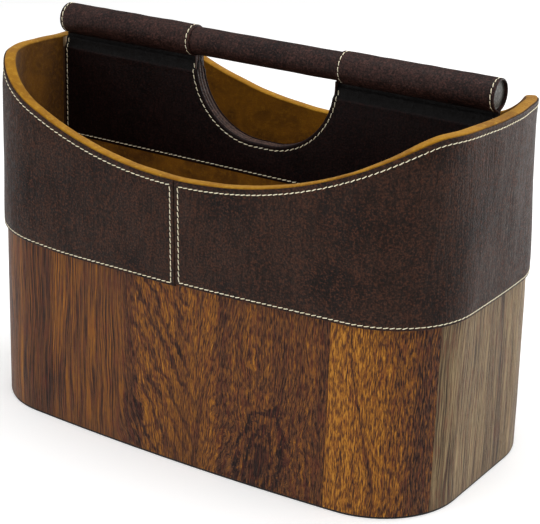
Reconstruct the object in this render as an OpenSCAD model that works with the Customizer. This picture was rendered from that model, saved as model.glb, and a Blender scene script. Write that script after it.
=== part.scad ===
// Magazine rack: a rounded box with a veneered lower band, a leather upper
// band with a curved rim, and a middle divider that carries a round handle.
// Units are millimetres. The box stands on z = 0 with its length along X.
// "Offset" below means the distance outward from the face of the wood.

/* [Box] */
// Length of the wooden box, end face to end face
body_l = 400; // [340:1:460]
// Width of the wooden box at its middle, front face to back face
body_w = 227; // [190:1:260]
// How far each long side bows out at its middle
bow = 4.5; // [2:0.1:8]
// Corner radius of the wooden box, seen from above
corner_r = 66; // [50:1:75]
// Height of the rim at the two ends
end_h = 280; // [270:1:290]
// Height of the rim at the middle of the long sides
mid_h = 222.4; // [205:0.1:240]
// Distance from the middle at which the curved rim becomes level
swoop_half = 189; // [170:1:195]

/* [Walls] */
// Thickness of the wall boards
board_t = 5; // [4:0.5:6]
// Thickness of the wood veneer
veneer_t = 0.8; // [0.6:0.1:1]
// Thickness of the suede lining
suede_t = 1; // [0.8:0.1:1.2]
// Half length of the veneer leaf on each long side
leaf_half = 124; // [110:1:126]
// Angle round each corner at which the corner leaf meets the end leaf
leaf_turn = 65.5; // [50:0.5:80]

/* [Leather band] */
// Height of the lower edge of the leather band
band_z = 142.5; // [120:0.5:160]
// Height of the hem that is turned in along the lower edge
hem_h = 12.5; // [10:0.5:15]
// How far the leather stands out from the wood
band_out = 2.5; // [2:0.1:3]
// Thickness of the leather
leather_t = 1.2; // [1:0.1:1.3]
// Height of suede that shows outside, above the leather
rim_show = 1.3; // [1:0.1:1.4]
// Height of the suede flap that is turned down outside the boards
rim_flap = 10; // [8:0.5:12]
// Gap between the two halves of the band at the middle seams
seam_gap = 0.4; // [0.2:0.1:1]

/* [Base] */
// Thickness of the black cover under the box
cover_t = 1.5; // [1:0.1:2]
// Thickness of the base board
base_t = 6; // [5:0.5:8]
// How far the cover is set in from the face of the wood
cover_inset = 0.5; // [0.3:0.1:1]

/* [Divider] */
// Thickness of the divider board
core_t = 9.4; // [8:0.1:11]
// Height of the top edge of the divider board
core_top = 268; // [262:0.5:270]
// Thickness of the leather on the divider and the handle
wrap_t = 1.3; // [1:0.1:1.5]
// Height of the lower edge of the divider leather
panel_z = 196; // [180:0.5:205]
// Half length of the divider leather and of the handle sleeves
panel_half = 191; // [180:0.5:192]
// Radius of the rounded lower corners of the hand hole
hole_r = 54.6; // [48:0.1:58]
// Half length of the flat at the bottom of the hand hole
hole_flat = 6.5; // [4:0.1:12]
// Height of the centres of the rounded corners of the hand hole
hole_cz = 277.5; // [272:0.1:280]
// Thickness of the binding round the hand hole
binding_t = 1.2; // [1:0.1:1.5]

/* [Handle] */
// Height of the axis of the handle
handle_z = 292; // [289:0.5:296]
// Radius of the wooden dowel
dowel_r = 9.3; // [8:0.1:10]
// Thickness of the leather cover on the dowel
cover_r_t = 1.24; // [1:0.01:1.4]
// Distance of the end discs inside the ends of the sleeves
disc_inset = 1.9; // [1:0.1:3]
// Thickness of the end discs
disc_t = 1.6; // [1:0.1:2]

/* [Screws] */
// Radius of the screw shank
screw_r = 1.75; // [1.5:0.05:2]
// Radius of the screw head
screw_head_r = 3.5; // [3:0.1:4]
// Height of the countersunk screw head
screw_head_h = 2.2; // [1.8:0.1:2.6]
// Length of the screws
screw_l = 30; // [25:1:35]

/* [Hidden] */
// Number of facets on round shapes
$fn = 96;
// Small overlap for cuts
eps = 0.01;
// Size of the cutting blocks
big = 1000;
// Radius of the bowed long sides, from their sagitta between the corners
chord = body_l / 2 - corner_r;
side_r = (chord * chord + bow * bow) / (2 * bow);
// Distance of the centre of a long side's arc from the middle
arc_y = side_r - body_w / 2;
// Centres of the plan corners, whose arcs run smoothly into the long sides
cx = body_l / 2 - corner_r;
cy = sqrt(pow(side_r - corner_r, 2) - cx * cx) - arc_y;
// Direction from the centre of a long side's arc to the centre of a corner
ux = cx / (side_r - corner_r);
uy = (cy + arc_y) / (side_r - corner_r);
// Radius of the curved rim in side view
rise = end_h - mid_h;
swoop_r = (swoop_half * swoop_half + rise * rise) / (2 * rise);
// Offsets of the wall layers
o_board = -veneer_t;
o_lining = -veneer_t - board_t;
o_inside = o_lining - suede_t;
o_leather = band_out - leather_t;
o_flap = o_leather - suede_t;
// Thickness of the suede over the top edge of the boards
web_t = 1.5;
// Heights
base_top = cover_t + base_t;
floor_top = base_top + suede_t;
hem_top = band_z + hem_h;
// Divider and handle
core_y = core_t / 2;
panel_y = core_y + wrap_t;
face_y = core_y + suede_t;
core_half = body_l / 2 + o_lining;
inside_half = body_l / 2 + o_inside;
grip_r = dowel_r + cover_r_t;
sleeve_r = grip_r + wrap_t;
neck_z = core_top + 9.5;
grip_half = panel_half - disc_inset - disc_t;
hole_half = hole_flat + hole_r;
// Places of the screws
end_screw_z = [60, 130, 200];
base_screw_x = [-130, -50, 50, 130];

// ---- Shared shapes ----

// Plan of the box at offset o: straight ends, round corners and bowed sides
module plan(o) {
  square([body_l + 2 * o, 2 * cy], center = true);
  for (sx = [-1, 1], sy = [-1, 1])
    translate([sx * cx, sy * cy]) circle(r = corner_r + o);
  intersection() {
    for_side(1) circle(r = side_r + o, $fn = 720);
    for_side(-1) circle(r = side_r + o, $fn = 720);
    side_sector();
  }
}

module for_side(s) {
  translate([0, -s * arc_y]) children();
}

// Region between the lines where the corner arcs meet the long sides
module side_sector() {
  f = 2 * corner_r;
  polygon([
    [cx, -cy], [cx, cy], [cx + f * ux, cy + f * uy], [-cx - f * ux, cy + f * uy],
    [-cx, cy], [-cx, -cy], [-cx - f * ux, -cy - f * uy], [cx + f * ux, -cy - f * uy]
  ]);
}

// Plan of one wall layer between offsets o1 and o2
module layer(o1, o2) {
  difference() {
    plan(o2);
    plan(o1);
  }
}

// Everything below the rim, lowered by d
module below_rim(d) {
  difference() {
    translate([-big / 2, -big / 2, -1]) cube([big, big, end_h - d + 1]);
    translate([0, 0, mid_h + swoop_r - d]) rotate([90, 0, 0])
      cylinder(r = swoop_r, h = 2 * big, center = true, $fn = 360);
  }
}

// Wall layer between offsets o1 and o2, from z up to the rim lowered by d
module wall_layer(o1, o2, z, d) {
  intersection() {
    translate([0, 0, z]) linear_extrude(height = end_h) layer(o1, o2);
    below_rim(d);
  }
}

// Part of the plan on the long side, in front or behind
module side_zone(half, s) {
  translate([-half, s > 0 ? 0 : -big / 2]) square([2 * half, big / 2]);
}

// Part of the plan beyond x = half on one side and one face
module corner_zone(half, sx, sy) {
  mirror([sx < 0 ? 1 : 0, 0]) mirror([0, sy < 0 ? 1 : 0])
    translate([half, cy]) square([big / 2, big / 2]);
}

// Part of the plan between a leaf joint and the joint in the corner
module leaf_zone(sx, sy) {
  c = cos(leaf_turn);
  s = sin(leaf_turn);
  mirror([sx < 0 ? 1 : 0, 0]) mirror([0, sy < 0 ? 1 : 0])
    polygon([[leaf_half, cy], [cx, cy], [cx + 300 * s, cy + 300 * c], [leaf_half, cy + 300]]);
}

// Part of the plan at one end, between the joints in its two corners
module end_leaf_zone(sx) {
  c = cos(leaf_turn);
  s = sin(leaf_turn);
  mirror([sx < 0 ? 1 : 0, 0])
    polygon([[cx, cy], [cx, -cy], [cx + 300 * s, -cy - 300 * c], [cx + 300 * s, cy + 300 * c]]);
}

// Hand hole of corner radius r, open at the top, in side view
module hole_shape(r) {
  for (s = [-1, 1]) translate([s * hole_flat, hole_cz]) circle(r = r);
  translate([-hole_flat, hole_cz - r]) square([2 * hole_flat, r]);
  translate([-hole_flat - r, hole_cz]) square([2 * (hole_flat + r), 60]);
}

module hole_cut(r) {
  rotate([90, 0, 0]) linear_extrude(height = 60, center = true) hole_shape(r);
}

// Countersunk screw with its head at the origin, pointing along -Z
module screw() {
  translate([0, 0, -screw_l]) cylinder(r = screw_r, h = screw_l);
  translate([0, 0, -screw_head_h])
    cylinder(r1 = screw_r, r2 = screw_head_r, h = screw_head_h);
}

module end_screws(sx) {
  for (z = end_screw_z)
    translate([sx * (body_l / 2 + o_board), 0, z]) rotate([0, sx * 90, 0]) screw();
}

module base_screws() {
  for (x = base_screw_x) translate([x, 0, cover_t]) rotate([180, 0, 0]) screw();
}

// ---- Base ----

module base_cover() {
  color([0.05, 0.05, 0.05])
    linear_extrude(height = cover_t) plan(-cover_inset);
}

module base_board() {
  color([0.62, 0.48, 0.33]) difference() {
    translate([0, 0, cover_t]) linear_extrude(height = base_t) plan(o_lining);
    base_screws();
  }
}

// ---- Wall boards ----

module boards() {
  wall_layer(o_lining, o_board, cover_t, web_t);
}

module wall_side(s) {
  color([0.62, 0.48, 0.33]) intersection() {
    boards();
    linear_extrude(height = end_h) side_zone(leaf_half, s);
  }
}

module wall_end(sx) {
  color([0.62, 0.48, 0.33]) difference() {
    intersection() {
      boards();
      translate([sx > 0 ? cx : -cx - big / 2, -cy, 0]) cube([big / 2, 2 * cy, end_h]);
    }
    end_screws(sx);
  }
}

module wall_corner(sx, sy) {
  color([0.62, 0.48, 0.33]) intersection() {
    boards();
    linear_extrude(height = end_h) corner_zone(leaf_half, sx, sy);
  }
}

module wall_front() { wall_side(-1); }
module wall_back() { wall_side(1); }
module wall_left() { wall_end(-1); }
module wall_right() { wall_end(1); }
module corner_front_left() { wall_corner(-1, -1); }
module corner_front_right() { wall_corner(1, -1); }
module corner_back_left() { wall_corner(-1, 1); }
module corner_back_right() { wall_corner(1, 1); }

// ---- Veneer ----

// One veneer leaf: the veneer layer inside a zone of the plan
module leaf(tone) {
  color(tone) translate([0, 0, cover_t]) linear_extrude(height = hem_top - cover_t)
    intersection() {
      layer(o_board, 0);
      children();
    }
}

module veneer_front() { leaf([0.36, 0.2, 0.09]) side_zone(leaf_half, -1); }
module veneer_back() { leaf([0.36, 0.2, 0.09]) side_zone(leaf_half, 1); }
module veneer_left() { leaf([0.34, 0.24, 0.16]) end_leaf_zone(-1); }
module veneer_right() { leaf([0.34, 0.24, 0.16]) end_leaf_zone(1); }
module veneer_front_left() { leaf([0.29, 0.17, 0.09]) leaf_zone(-1, -1); }
module veneer_front_right() { leaf([0.5, 0.28, 0.1]) leaf_zone(1, -1); }
module veneer_back_left() { leaf([0.5, 0.28, 0.1]) leaf_zone(-1, 1); }
module veneer_back_right() { leaf([0.29, 0.17, 0.09]) leaf_zone(1, 1); }

// ---- Leather band ----

// Foam backing between the boards and the leather, stepped under the flap
module band_padding() {
  color([0.25, 0.24, 0.22]) union() {
    wall_layer(o_board, o_flap, hem_top, web_t);
    wall_layer(o_flap - eps, o_leather, hem_top, rim_flap);
  }
}

// Leather skin with its hem turned in against the veneer
module leather_band() {
  wall_layer(o_leather, band_out, band_z, rim_show);
  translate([0, 0, band_z]) linear_extrude(height = hem_h) layer(0, o_leather + eps);
}

module leather_half(sx) {
  color([0.16, 0.11, 0.09]) intersection() {
    leather_band();
    translate([sx > 0 ? seam_gap / 2 : -seam_gap / 2 - big / 2, -big / 2, 0])
      cube([big / 2, big, end_h]);
  }
}

module leather_left() { leather_half(-1); }
module leather_right() { leather_half(1); }

// ---- Suede ----

// Lining of one pocket, from the divider round to the divider
module lining(sy) {
  color([0.52, 0.37, 0.12]) intersection() {
    wall_layer(o_inside, o_lining, base_top, web_t);
    translate([-big / 2, sy > 0 ? core_y : -core_y - big / 2, 0]) cube([big, big / 2, end_h]);
  }
}

module lining_front() { lining(-1); }
module lining_back() { lining(1); }

// Suede turned over the top of the walls and down under the leather
module rim_suede() {
  color([0.72, 0.53, 0.2]) union() {
    difference() {
      wall_layer(o_inside, o_leather, cover_t, 0);
      below_rim(web_t);
    }
    difference() {
      wall_layer(o_flap, o_leather, cover_t, web_t - eps);
      below_rim(rim_flap);
    }
  }
}

module floor_sheet(sy) {
  color([0.52, 0.37, 0.12]) translate([0, 0, base_top]) linear_extrude(height = suede_t)
    intersection() {
      plan(o_inside);
      translate([-big / 2, sy > 0 ? face_y : -face_y - big / 2]) square([big, big / 2]);
    }
}

module floor_front() { floor_sheet(-1); }
module floor_back() { floor_sheet(1); }

// ---- Divider ----

module divider_core() {
  color([0.3, 0.2, 0.12]) difference() {
    translate([-core_half, -core_y, base_top])
      cube([2 * core_half, core_t, core_top - base_top]);
    hole_cut(hole_r + binding_t);
    end_screws(-1);
    end_screws(1);
    base_screws();
  }
}

// Leather sheet folded over the handle: panels, neck and sleeves in one piece
module divider_leather() {
  color([0.09, 0.06, 0.055]) difference() {
    rotate([90, 0, 90]) linear_extrude(height = 2 * panel_half, center = true)
      wrap_profile();
    hole_cut(hole_r);
  }
}

module wrap_profile() {
  difference() {
    union() {
      translate([0, handle_z]) circle(r = sleeve_r);
      polygon([
        [-panel_y, panel_z], [panel_y, panel_z], [panel_y, core_top + 0.5],
        [wrap_t, neck_z], [wrap_t, handle_z], [-wrap_t, handle_z],
        [-wrap_t, neck_z], [-panel_y, core_top + 0.5]
      ]);
    }
    translate([0, handle_z]) circle(r = grip_r);
    polygon([
      [-core_y, panel_z - 1], [core_y, panel_z - 1],
      [core_y, core_top], [0, neck_z - 0.5], [-core_y, core_top]
    ]);
  }
}

// Leather strip on the edge of the board round the hand hole
module hole_binding() {
  color([0.2, 0.15, 0.14]) intersection() {
    difference() {
      hole_cut(hole_r + binding_t);
      hole_cut(hole_r);
    }
    translate([-big / 2, -core_y, 0]) cube([big, core_t, core_top]);
  }
}

module divider_suede(sy) {
  color([0.52, 0.37, 0.12])
    translate([-inside_half, sy > 0 ? core_y : -face_y, base_top])
      cube([2 * inside_half, suede_t, panel_z - base_top]);
}

module divider_suede_front() { divider_suede(-1); }
module divider_suede_back() { divider_suede(1); }

// ---- Handle ----

// Round bar between radii r1 and r2, x from -half to half
module bar(r1, r2, half) {
  translate([0, 0, handle_z]) rotate([0, 90, 0]) difference() {
    cylinder(r = r2, h = 2 * half, center = true);
    if (r1 > 0) cylinder(r = r1, h = 2 * half + 2, center = true);
  }
}

module handle_dowel() {
  color([0.62, 0.48, 0.33]) bar(0, dowel_r, grip_half);
}

module grip_cover() {
  color([0.17, 0.115, 0.095]) bar(dowel_r, grip_r, grip_half);
}

module end_disc(sx) {
  color([0.14, 0.13, 0.12])
    translate([sx * (grip_half + disc_t / 2), 0, handle_z]) rotate([0, 90, 0])
      cylinder(r = grip_r, h = disc_t, center = true);
}

module end_disc_left() { end_disc(-1); }
module end_disc_right() { end_disc(1); }

// ---- Screws ----

module divider_screws() {
  color([0.7, 0.7, 0.68]) {
    end_screws(-1);
    end_screws(1);
    base_screws();
  }
}

base_cover();
base_board();
wall_front();
wall_back();
wall_left();
wall_right();
corner_front_left();
corner_front_right();
corner_back_left();
corner_back_right();
veneer_front();
veneer_back();
veneer_left();
veneer_right();
veneer_front_left();
veneer_front_right();
veneer_back_left();
veneer_back_right();
band_padding();
leather_left();
leather_right();
lining_front();
lining_back();
rim_suede();
floor_front();
floor_back();
divider_core();
divider_leather();
hole_binding();
divider_suede_front();
divider_suede_back();
handle_dowel();
grip_cover();
end_disc_left();
end_disc_right();
divider_screws();
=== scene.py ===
import math

import bmesh
import bpy
import numpy as np
from mathutils import Matrix, Vector


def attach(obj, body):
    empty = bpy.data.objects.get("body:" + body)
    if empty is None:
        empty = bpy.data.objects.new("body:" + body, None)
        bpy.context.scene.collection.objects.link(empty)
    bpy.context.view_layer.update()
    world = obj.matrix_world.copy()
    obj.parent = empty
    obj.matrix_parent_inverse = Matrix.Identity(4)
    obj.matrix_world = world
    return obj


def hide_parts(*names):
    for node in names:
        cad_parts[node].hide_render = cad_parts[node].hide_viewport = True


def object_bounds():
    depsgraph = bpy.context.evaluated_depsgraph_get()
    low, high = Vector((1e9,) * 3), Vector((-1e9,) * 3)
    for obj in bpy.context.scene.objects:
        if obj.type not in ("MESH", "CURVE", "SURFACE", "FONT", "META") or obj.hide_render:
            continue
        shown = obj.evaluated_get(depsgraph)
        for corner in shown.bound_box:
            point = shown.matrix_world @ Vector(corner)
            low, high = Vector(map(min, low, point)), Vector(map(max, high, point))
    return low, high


# The looks of the magazine rack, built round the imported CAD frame. Sizes are
# in millimetres here and turn into metres where a mesh is made. "s" is the
# way round the box on the face of the wood, from the middle of the front
# towards +X, and "offset" is the distance outward from that face.

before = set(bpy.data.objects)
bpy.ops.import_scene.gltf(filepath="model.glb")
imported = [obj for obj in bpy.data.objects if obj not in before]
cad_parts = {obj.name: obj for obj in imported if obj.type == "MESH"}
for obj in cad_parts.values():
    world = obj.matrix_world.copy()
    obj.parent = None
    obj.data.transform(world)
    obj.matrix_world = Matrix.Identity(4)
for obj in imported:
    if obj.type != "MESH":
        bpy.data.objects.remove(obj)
cad_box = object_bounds()

MM = 0.001
SEED = 7

# ---- Dimensions, as in part.scad ----

BODY_L = 400.0
BODY_W = 227.0
BOW = 4.5
CORNER_R = 66.0
END_H = 280.0
MID_H = 222.4
BOARD_T = 5.0
VENEER_T = 0.8
SUEDE_T = 1.0
LEAF_HALF = 124.0
LEAF_TURN = math.radians(65.5)
BAND_Z = 142.5
HEM_H = 12.5
BAND_OUT = 2.5
LEATHER_T = 1.2
RIM_SHOW = 1.3
RIM_FLAP = 10.0
SEAM_GAP = 0.4
COVER_T = 1.5
BASE_TOP = 7.5
CORE_Y = 4.7
CORE_TOP = 268.0
WRAP_T = 1.3
PANEL_Z = 196.0
PANEL_HALF = 191.0
HOLE_R = 54.6
HOLE_FLAT = 6.5
HOLE_CZ = 277.5
HANDLE_Z = 292.0
GRIP_R = 10.54
SLEEVE_R = GRIP_R + WRAP_T
DISC_INSET = 1.9

CHORD = BODY_L / 2 - CORNER_R
SIDE_R = (CHORD**2 + BOW**2) / (2 * BOW)
ARC_Y = SIDE_R - BODY_W / 2
CORNER_Y = math.sqrt((SIDE_R - CORNER_R) ** 2 - CHORD**2) - ARC_Y
TURN_START = math.asin(CHORD / (SIDE_R - CORNER_R))
SIDE_S = SIDE_R * TURN_START
CORNER_S = CORNER_R * (math.pi / 2 - TURN_START)
QUARTER = SIDE_S + CORNER_S + CORNER_Y
HALF_WAY = 2 * QUARTER
LEAF_S = SIDE_R * math.asin(LEAF_HALF / SIDE_R)
END_LEAF_S = SIDE_S + CORNER_R * (LEAF_TURN - TURN_START)

O_BOARD = -VENEER_T
O_LINING = -VENEER_T - BOARD_T
O_INSIDE = O_LINING - SUEDE_T
O_LEATHER = BAND_OUT - LEATHER_T
INSIDE_HALF = BODY_L / 2 + O_INSIDE
PANEL_Y = CORE_Y + WRAP_T
HOLE_HALF = HOLE_FLAT + HOLE_R

# ---- Where the rack in the photo leaves the plain shape of the CAD ----

LEAF_SHIFT = 4.8
SLEEVE_START = HOLE_HALF + 3.6
RIM_DROP_RIGHT = 5.0
RIM_DROP_RIGHT_S = HALF_WAY - SIDE_S - CORNER_R * math.radians(24)
RIM_DROP_LEFT = 1.8
WAIST = 5.6
WAIST_S = HALF_WAY - SIDE_S - CORNER_R * math.radians(54)
LEAN = 3.0
HEM_UP = 2.0
HEM_DROP_LEFT = 3.3
HEM_DROP_RIGHT = 1.6
SEAM_LEAN = 1.2

# ---- Looks of the sewn parts ----

RIM_R = 344.0
RIM_EASE = 3.0
HEM_STITCH = 2.3
RIM_STITCH = 4.0
SEAM_STITCH = 3.5
EDGE_STITCH = 2.7
HOLE_STITCH = 3.3
PITCH = 4.4
HOLE_PITCH = 4.73
THREAD_R = 0.34


# ---- Shared shapes ----


def smooth(t):
    """0 to 1 with a soft start and end."""
    t = np.clip(t, 0, 1)
    return t * t * (3 - 2 * t)


def dip(d, width=0.8):
    """1 at d = 0, falling to 0 a few widths away."""
    return np.exp(-((d / width) ** 2))


def swell(d, width):
    """0 at and before d = 0, rising to 1 a few widths beyond."""
    return 1 - np.exp(-((np.maximum(d, 0) / width) ** 2))


def fold(d, radius, depth):
    """How far a folded edge falls away at distance d from it."""
    t = 1 - np.clip(d / radius, 0, 1)
    return depth * (1 - np.sqrt(np.maximum(1 - t * t, 0)))


def waves(a, b, length_a, length_b, seed, count=7):
    """Gentle random waves in two directions, between about -1 and 1."""
    draw = np.random.default_rng(SEED + seed)
    total = 0
    for _ in range(count):
        ka = 2 * math.pi / (length_a * draw.uniform(0.6, 1.8))
        kb = 2 * math.pi / (length_b * draw.uniform(0.6, 1.8)) * draw.choice([-1, 1])
        total = total + np.sin(ka * a + kb * b + draw.uniform(0, 2 * math.pi))
    return total / math.sqrt(count)


def around(s):
    """The same place with s between -HALF_WAY and HALF_WAY."""
    return (s + HALF_WAY) % (2 * HALF_WAY) - HALF_WAY


def plan(s):
    """Point and outward normal on the face of the wood at path place s."""
    s = around(np.asarray(s, float))
    side = np.where(s < 0, -1.0, 1.0)
    back = np.abs(s) > QUARTER
    u = np.where(back, HALF_WAY - np.abs(s), np.abs(s))
    turn = np.where(u < SIDE_S, u / SIDE_R, TURN_START + (u - SIDE_S) / CORNER_R)
    turn = np.minimum(turn, math.pi / 2)
    straight = np.maximum(u - SIDE_S - CORNER_S, 0)
    x = np.where(u < SIDE_S, SIDE_R * np.sin(turn), CHORD + CORNER_R * np.sin(turn))
    on_side = SIDE_R * np.cos(turn) - ARC_Y
    on_corner = CORNER_Y + CORNER_R * np.cos(turn) - straight
    y = -np.where(u < SIDE_S, on_side, on_corner)
    flip = np.where(back, -1.0, 1.0)
    return x * side, y * flip, np.sin(turn) * side, -np.cos(turn) * flip


def crest(s):
    """Height of the rim at path place s, lower at the back right corner and at the left end."""
    x = plan(s)[0]
    rise = MID_H + RIM_R - np.sqrt(np.maximum(RIM_R**2 - x * x, 0))
    even = 0.5 * (rise + END_H - np.sqrt((rise - END_H) ** 2 + RIM_EASE**2))
    even = even - RIM_DROP_RIGHT * dip(around(s) - RIM_DROP_RIGHT_S, 45)
    return even - RIM_DROP_LEFT * dip(around(s) + QUARTER, 35)


def hem(s):
    """Height of the lower edge of the leather, which hangs lower at the front, most on the left."""
    right = HEM_DROP_RIGHT * (1 - smooth(s / 140))
    left = HEM_DROP_LEFT * (1 - smooth((-s - 95) / 110)) + 0.7 * dip(s + 108, 42)
    return BAND_Z + HEM_UP - np.where(s < 0, left, right)


def waist(s, z):
    """How far the walls are drawn in at the back right corner, least at the floor."""
    along = dip(s - WAIST_S, 46)
    rise = 0.35 * smooth(z / BAND_Z) + 0.65 * smooth((z - 120) / 110)
    return WAIST * along * rise * (1 - 0.2 * smooth((z - 258) / 24))


def on_wall(s, offset, z):
    """Points on the walls, which lean in a little above the wood."""
    s, offset, z = np.broadcast_arrays(np.asarray(s, float), offset, z)
    x, y, nx, ny = plan(s)
    out = offset - waist(s % (2 * HALF_WAY), z)
    lean = LEAN * smooth((np.abs(x) - 60) / 140) * np.clip((z - BAND_Z) / (END_H - BAND_Z), 0, 1)
    lean = lean * smooth((np.abs(y) - 12) / 40)
    return np.stack([x + nx * out - np.sign(x) * lean, y + ny * out, z], -1)


def steps(start, end, step, fine=()):
    """Places from start to end about a step apart, with fine ones at both ends."""
    fine = np.array(sorted(fine), float)
    inner_a = start + (fine[-1] if len(fine) else 0)
    inner_b = end - (fine[-1] if len(fine) else 0)
    count = max(2, round((inner_b - inner_a) / step) + 1)
    middle = np.linspace(inner_a, inner_b, count)
    return np.unique(np.concatenate([start + fine, middle, end - fine, [start, end]]))


# ---- Meshes ----


def grid_faces(rows, cols, wrap_rows=False, wrap_cols=False):
    """Four-sided faces of a grid of points, row after row."""
    r = np.arange(rows if wrap_rows else rows - 1)[:, None]
    c = np.arange(cols if wrap_cols else cols - 1)[None]
    r2, c2 = (r + 1) % rows, (c + 1) % cols
    corners = [r * cols + c, r * cols + c2, r2 * cols + c2, r2 * cols + c]
    return np.stack(corners, -1).reshape(-1, 4).tolist()


def piece(name, points, faces, material, replaces=(), lay=None):
    """A piece of the object from points in millimetres, riding on the rack."""
    mesh = bpy.data.meshes.new(name)
    flat = np.asarray(points, float).reshape(-1, 3)
    mesh.from_pydata((flat * MM).tolist(), [], faces)
    if lay is not None:
        attribute = mesh.attributes.new("lay", "FLOAT_VECTOR", "POINT")
        padded = np.zeros((len(flat), 3))
        padded[:, :2] = np.asarray(lay, float).reshape(-1, 2)
        attribute.data.foreach_set("vector", padded.astype(np.float32).ravel())
    bm = bmesh.new()
    bm.from_mesh(mesh)
    bmesh.ops.recalc_face_normals(bm, faces=bm.faces)
    bm.to_mesh(mesh)
    bm.free()
    mesh.polygons.foreach_set("use_smooth", [True] * len(mesh.polygons))
    mesh.set_sharp_from_angle(angle=math.radians(48))
    mesh.materials.append(material)
    obj = bpy.data.objects.new(name, mesh)
    bpy.context.scene.collection.objects.link(obj)
    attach(obj, "root")
    if replaces:
        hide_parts(*replaces)
    return obj


def loft_faces(points, ring):
    """Faces of closed profiles in rows: a ring, or a run with closed ends."""
    rows, cols = points.shape[:2]
    faces = grid_faces(rows, cols, wrap_rows=ring, wrap_cols=True)
    if not ring:
        faces.append(list(range(cols)))
        faces.append(list(range((rows - 1) * cols, rows * cols)))
    return faces


def wall_piece(name, s, offset, z, material, replaces=(), ring=False, origin=0.0):
    """A closed profile carried round the wall, one row for each place s."""
    s = np.asarray(s, float)[:, None]
    points = on_wall(s, offset, z)
    lay = np.stack([np.broadcast_to(s - origin, points.shape[:2]), points[..., 2]], -1)
    faces = loft_faces(points, ring)
    return piece(name, points, faces, material, replaces, lay)


def shell(name, front, back, material, replaces=()):
    """A sheet with a front face and a back face, joined round its edge."""
    rows, cols = front.shape[:2]
    faces = grid_faces(rows, cols)
    far = rows * cols
    faces += [[far + i for i in reversed(f)] for f in faces]
    edge = list(range(cols))
    edge += [r * cols + cols - 1 for r in range(1, rows)]
    edge += [(rows - 1) * cols + c for c in range(cols - 2, -1, -1)]
    edge += [r * cols for r in range(rows - 2, 0, -1)]
    for a, b in zip(edge, edge[1:] + edge[:1]):
        faces.append([b, a, far + a, far + b])
    points = np.concatenate([front.reshape(-1, 3), back.reshape(-1, 3)])
    return piece(name, points, faces, material, replaces)


# ---- Stitches ----


def stitch_rows(path, normals, pitch, seed, slant=9.0):
    """Rings of points of slanted stitches along a path, one row for each stitch."""
    draw = np.random.default_rng(SEED + seed)
    step = np.linalg.norm(np.diff(path, axis=0), axis=1)
    along = np.concatenate([[0], np.cumsum(step)])
    count = max(1, round(along[-1] / pitch))
    pitch = along[-1] / count
    centre = (np.arange(count) + 0.5) * pitch
    half = pitch * draw.uniform(0.425, 0.465, count)
    v = np.array([-1.0, -0.86, -0.5, 0.0, 0.5, 0.86, 1.0])
    place = centre[:, None] + half[:, None] * v
    flat_path = np.stack([np.interp(place, along, path[:, k]) for k in range(3)], -1)
    up = np.stack([np.interp(place, along, normals[:, k]) for k in range(3)], -1)
    up /= np.linalg.norm(up, axis=-1, keepdims=True)
    ahead = np.gradient(flat_path, axis=1)
    ahead /= np.linalg.norm(ahead, axis=-1, keepdims=True)
    across = np.cross(up, ahead)
    lean = np.tan(np.radians(slant + draw.normal(0, 3.0, count)))[:, None, None]
    radius = THREAD_R * np.array([0.45, 0.85, 1.0, 1.02, 1.0, 0.85, 0.45])
    height = np.array([-0.3, 0.02, 0.2, 0.26, 0.2, 0.02, -0.3])
    middle = flat_path + across * (lean * (half[:, None] * v)[..., None])
    middle = middle + up * height[None, :, None]
    turn = np.linspace(0, 2 * math.pi, 8, endpoint=False)
    ring = across[:, :, None] * np.cos(turn)[:, None] + up[:, :, None] * np.sin(turn)[:, None] * 0.8
    return middle[:, :, None] + ring * radius[None, :, None, None]


def stitches(name, runs, pitch=PITCH):
    """One piece for all the stitches along some paths with their normals."""
    points, faces, first = [], [], 0
    for k, (path, normals) in enumerate(runs):
        rows = stitch_rows(path, normals, pitch, seed=len(name) * 31 + k)
        for one in rows:
            rings, sides = one.shape[:2]
            local = grid_faces(rings, sides, wrap_cols=True)
            local += [list(range(sides)), list(range((rings - 1) * sides, rings * sides))]
            faces += [[first + i for i in f] for f in local]
            points.append(one.reshape(-1, 3))
            first += rings * sides
    return piece(name, np.concatenate(points), faces, THREAD)


def normals_of(surface, a, b, step=0.3):
    """Normals of a surface function of two parameters, by small steps."""
    da = surface(a + step, b) - surface(a - step, b)
    db = surface(a, b + step) - surface(a, b - step)
    normal = np.cross(da, db)
    return normal / np.linalg.norm(normal, axis=-1, keepdims=True)


def run_on(surface, a, b, outward):
    """A stitch path on a surface, with its normals turned outward."""
    path = surface(a, b)
    normals = normals_of(surface, a, b)
    away = np.sum(normals * outward(path), axis=-1, keepdims=True)
    return path, normals * np.sign(away)


# ---- Materials ----


def srgb(red, green, blue):
    """Linear colour of an sRGB colour given from 0 to 255."""
    parts = [c / 255 for c in (red, green, blue)]
    linear = [c / 12.92 if c <= 0.04045 else ((c + 0.055) / 1.055) ** 2.4 for c in parts]
    return (*linear, 1.0)


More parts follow.
